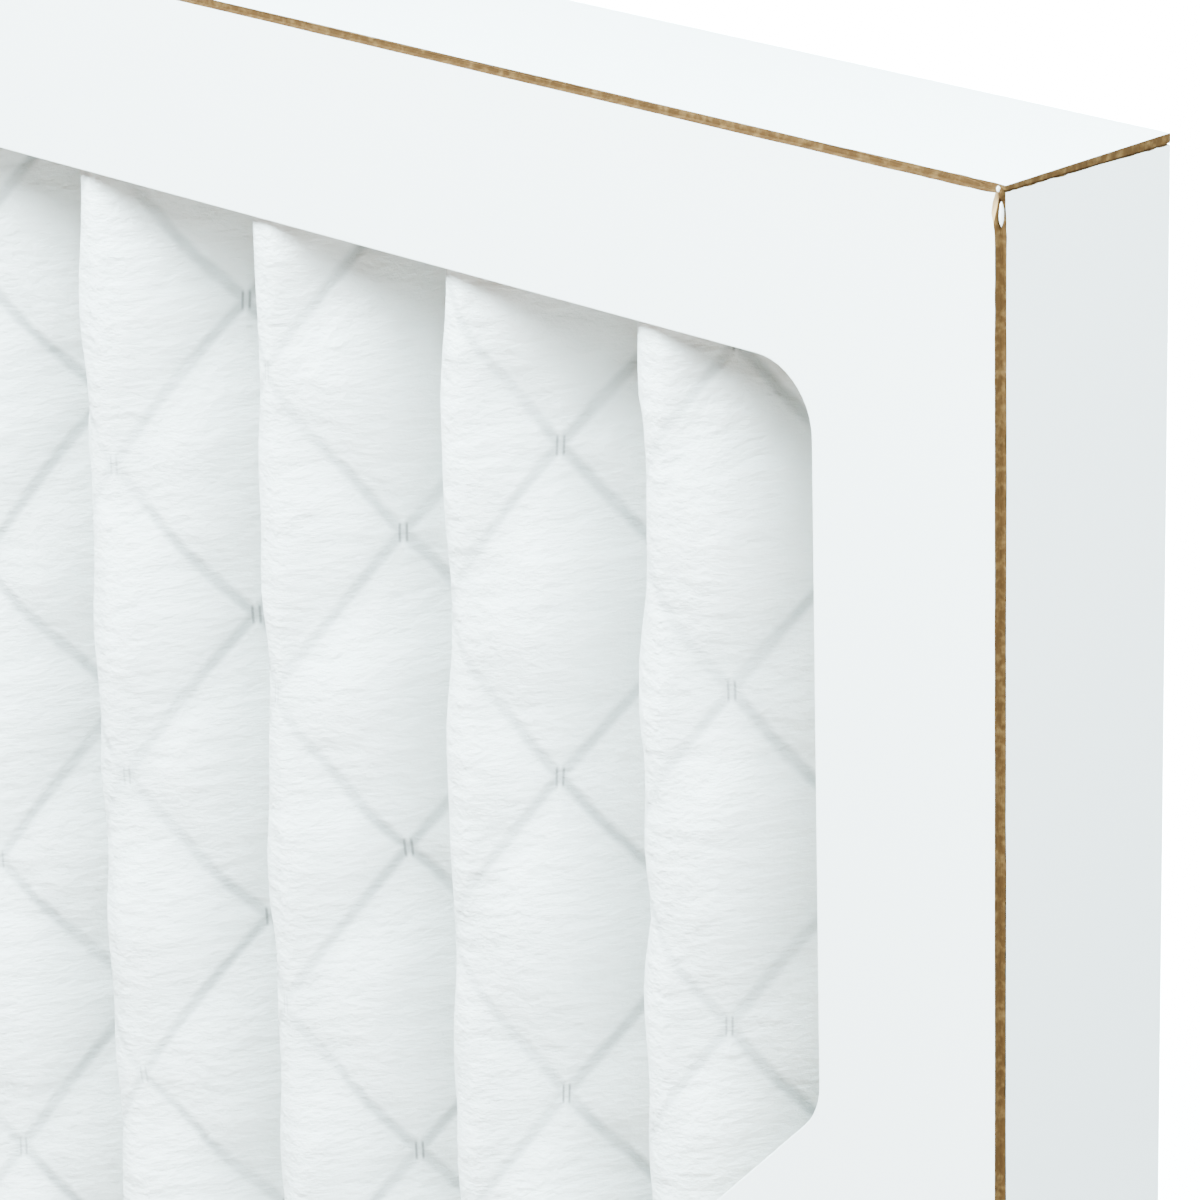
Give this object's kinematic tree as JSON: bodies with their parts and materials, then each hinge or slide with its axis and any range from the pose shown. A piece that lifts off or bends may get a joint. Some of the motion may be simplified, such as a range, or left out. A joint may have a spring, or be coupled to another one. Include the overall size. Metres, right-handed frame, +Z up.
{
  "type": "pleated panel air filter",
  "caption": "Upright pleated panel air filter: folded-board frame with crossed straps on both faces, round a pleated white medium on a diamond support grid.",
  "frame": {"origin": "middle of the bottom edge, at the bottom centre of the box round the filter", "axes": "+Z up along the pleats and the long side, +X across the pleats to the right, -Y out of the air-entering face, +Y out of the air-leaving face"},
  "size_m": [0.343, 0.019, 0.495],
  "materials": {
    "board": "white-faced beverage board, satin, with a brown core at its cut edges",
    "media": "soft white nonwoven",
    "grid": "bright galvanised strand",
    "adhesive": "milky set adhesive"
  },
  "bodies": {
    "root": {"front_frame": "board", "back_frame": "board", "media": "media", "support_grid": "grid", "end_seal_top": "adhesive", "end_seal_bottom": "adhesive", "side_seal_left": "adhesive", "side_seal_right": "adhesive"}
  },
  "joints": []
}
